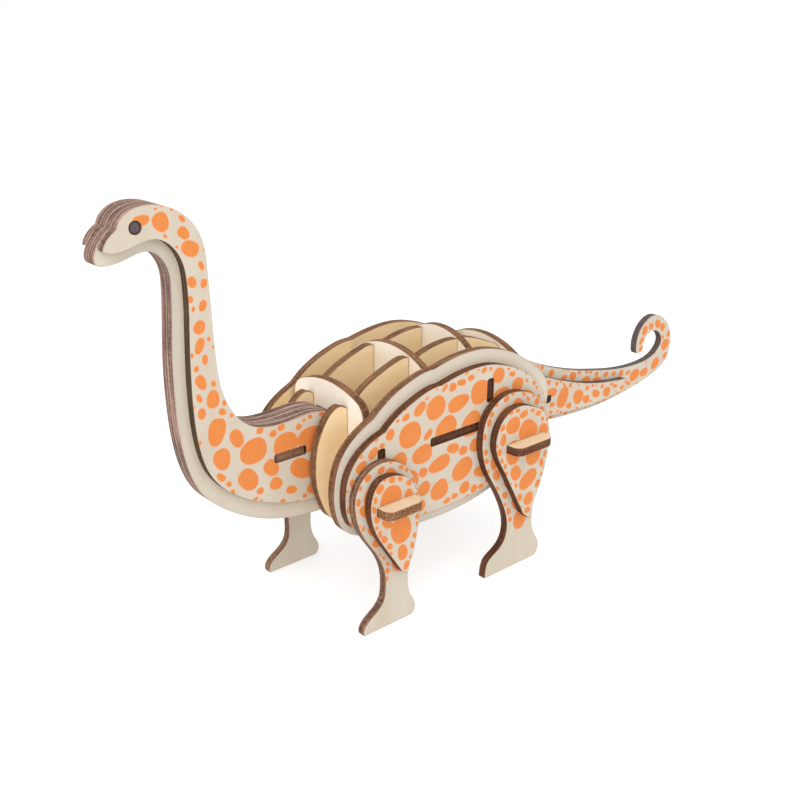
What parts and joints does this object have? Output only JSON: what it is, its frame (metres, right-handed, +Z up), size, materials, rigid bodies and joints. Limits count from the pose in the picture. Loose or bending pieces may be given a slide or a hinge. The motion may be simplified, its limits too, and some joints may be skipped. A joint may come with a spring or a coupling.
{
  "type": "wooden 3d jigsaw model",
  "caption": "Slot-together plywood model of a long-necked dinosaur with a curled tail, printed with orange spots.",
  "frame": {"origin": "on the table, on the mid-plane, under the middle of the model's length", "axes": "+X towards the tail, +Y towards the animal's right flank, +Z up"},
  "size_m": [0.2678, 0.074, 0.1441],
  "materials": {
    "plain_plywood": "bare birch veneer with laser-browned edges",
    "printed_plywood": "birch veneer printed with matt orange spots, laser-browned edges"
  },
  "bodies": {
    "core": {"rib_left": "plain_plywood", "rib_right": "plain_plywood", "bulkhead_front": "plain_plywood", "bulkhead_chest": "plain_plywood", "bulkhead_loin": "plain_plywood", "bulkhead_rear": "plain_plywood", "floor_plate": "plain_plywood", "front_leg_key": "plain_plywood", "hind_leg_key": "plain_plywood"},
    "neck": {"neck_core_left": "plain_plywood", "neck_core_right": "plain_plywood", "neck_side_left": "printed_plywood", "neck_side_right": "printed_plywood", "neck_key": "plain_plywood"},
    "tail": {"tail_core": "printed_plywood", "tail_side_left": "printed_plywood", "tail_side_right": "printed_plywood", "tail_key": "plain_plywood"},
    "panel_inner_left": {"panel_inner_left": "plain_plywood"},
    "panel_outer_left": {"panel_outer_left": "printed_plywood"},
    "front_leg_left": {"front_leg_left": "printed_plywood"},
    "front_thigh_left": {"front_thigh_left": "printed_plywood"},
    "hind_leg_left": {"hind_leg_left": "printed_plywood"},
    "hind_thigh_left": {"hind_thigh_left": "printed_plywood"},
    "panel_inner_right": {"panel_inner_right": "plain_plywood"},
    "panel_outer_right": {"panel_outer_right": "printed_plywood"},
    "front_leg_right": {"front_leg_right": "printed_plywood"},
    "front_thigh_right": {"front_thigh_right": "printed_plywood"},
    "hind_leg_right": {"hind_leg_right": "printed_plywood"},
    "hind_thigh_right": {"hind_thigh_right": "printed_plywood"}
  },
  "joints": [
    {"name": "neck_slide", "type": "slide", "parent": "core", "child": "neck", "axis": [-1, 0, 0], "range_m": [0, 0.034]},
    {"name": "tail_slide", "type": "slide", "parent": "core", "child": "tail", "axis": [1, 0, 0], "range_m": [0, 0.032]},
    {"name": "panel_inner_left_slide", "type": "slide", "parent": "core", "child": "panel_inner_left", "axis": [0, -1, 0], "range_m": [0, 0.021]},
    {"name": "panel_outer_left_slide", "type": "slide", "parent": "panel_inner_left", "child": "panel_outer_left", "axis": [0, -1, 0], "range_m": [0, 0.018]},
    {"name": "front_leg_left_slide", "type": "slide", "parent": "panel_outer_left", "child": "front_leg_left", "axis": [0, -1, 0], "range_m": [0, 0.015]},
    {"name": "front_thigh_left_slide", "type": "slide", "parent": "front_leg_left", "child": "front_thigh_left", "axis": [0, -1, 0], "range_m": [0, 0.012]},
    {"name": "hind_leg_left_slide", "type": "slide", "parent": "panel_outer_left", "child": "hind_leg_left", "axis": [0, -1, 0], "range_m": [0, 0.015]},
    {"name": "hind_thigh_left_slide", "type": "slide", "parent": "hind_leg_left", "child": "hind_thigh_left", "axis": [0, -1, 0], "range_m": [0, 0.012]},
    {"name": "panel_inner_right_slide", "type": "slide", "parent": "core", "child": "panel_inner_right", "axis": [0, 1, 0], "range_m": [0, 0.021]},
    {"name": "panel_outer_right_slide", "type": "slide", "parent": "panel_inner_right", "child": "panel_outer_right", "axis": [0, 1, 0], "range_m": [0, 0.018]},
    {"name": "front_leg_right_slide", "type": "slide", "parent": "panel_outer_right", "child": "front_leg_right", "axis": [0, 1, 0], "range_m": [0, 0.015]},
    {"name": "front_thigh_right_slide", "type": "slide", "parent": "front_leg_right", "child": "front_thigh_right", "axis": [0, 1, 0], "range_m": [0, 0.012]},
    {"name": "hind_leg_right_slide", "type": "slide", "parent": "panel_outer_right", "child": "hind_leg_right", "axis": [0, 1, 0], "range_m": [0, 0.015]},
    {"name": "hind_thigh_right_slide", "type": "slide", "parent": "hind_leg_right", "child": "hind_thigh_right", "axis": [0, 1, 0], "range_m": [0, 0.012]}
  ]
}
